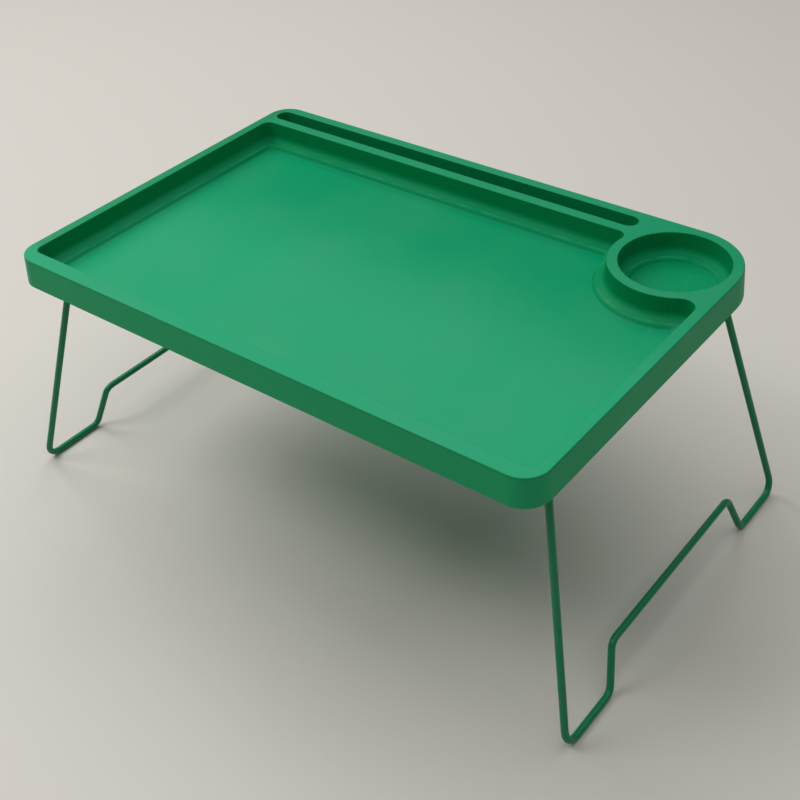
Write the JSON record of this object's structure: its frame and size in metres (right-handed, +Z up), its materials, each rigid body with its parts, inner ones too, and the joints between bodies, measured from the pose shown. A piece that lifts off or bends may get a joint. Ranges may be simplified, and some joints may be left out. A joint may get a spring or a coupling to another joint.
{
  "type": "folding tray table",
  "caption": "Moulded rectangular tray with a raised rim, a round cup well and a narrow pen slot, on bent wire legs that splay outward and fold flat under it.",
  "frame": {"origin": "on the floor under the middle of the open table", "axes": "+X along the tray's long side toward the cup well's end, +Y from the front edge toward the pen slot's edge, +Z up"},
  "size_m": [0.6388, 0.3758, 0.26],
  "materials": {
    "tray_plastic": "satin injection-moulded polypropylene, green, the same colour right through",
    "leg_coated_wire": "round steel wire with a satin green powder coat",
    "hinge_plastic": "moulded plastic, green, slightly darker and duller than the tray",
    "clip_plastic": "moulded plastic, green, slightly darker and duller than the tray",
    "screw_steel": "zinc-plated steel"
  },
  "bodies": {
    "tray": {"tray_body": "tray_plastic", "hinge_cap_front_left": "hinge_plastic", "hinge_cap_front_right": "hinge_plastic", "hinge_cap_back_left": "hinge_plastic", "hinge_cap_back_right": "hinge_plastic", "hinge_screw_front_left_inner": "screw_steel", "hinge_screw_front_left_outer": "screw_steel", "hinge_screw_front_right_inner": "screw_steel", "hinge_screw_front_right_outer": "screw_steel", "hinge_screw_back_left_inner": "screw_steel", "hinge_screw_back_left_outer": "screw_steel", "hinge_screw_back_right_inner": "screw_steel", "hinge_screw_back_right_outer": "screw_steel", "storage_clip_left": "clip_plastic", "storage_clip_right": "clip_plastic", "clip_screw_left_1": "screw_steel", "clip_screw_left_2": "screw_steel", "clip_screw_right_1": "screw_steel", "clip_screw_right_2": "screw_steel"},
    "left_leg": {"leg_left": "leg_coated_wire"},
    "right_leg": {"leg_right": "leg_coated_wire"}
  },
  "joints": [
    {"name": "left_leg_fold", "type": "hinge", "parent": "tray", "child": "left_leg", "pos_m": [-0.263, 0, 0.229], "axis": [0, -1, 0], "range_deg": [0, 101.5]},
    {"name": "right_leg_fold", "type": "hinge", "parent": "tray", "child": "right_leg", "pos_m": [0.263, 0, 0.229], "axis": [0, 1, 0], "range_deg": [0, 101.5]}
  ]
}
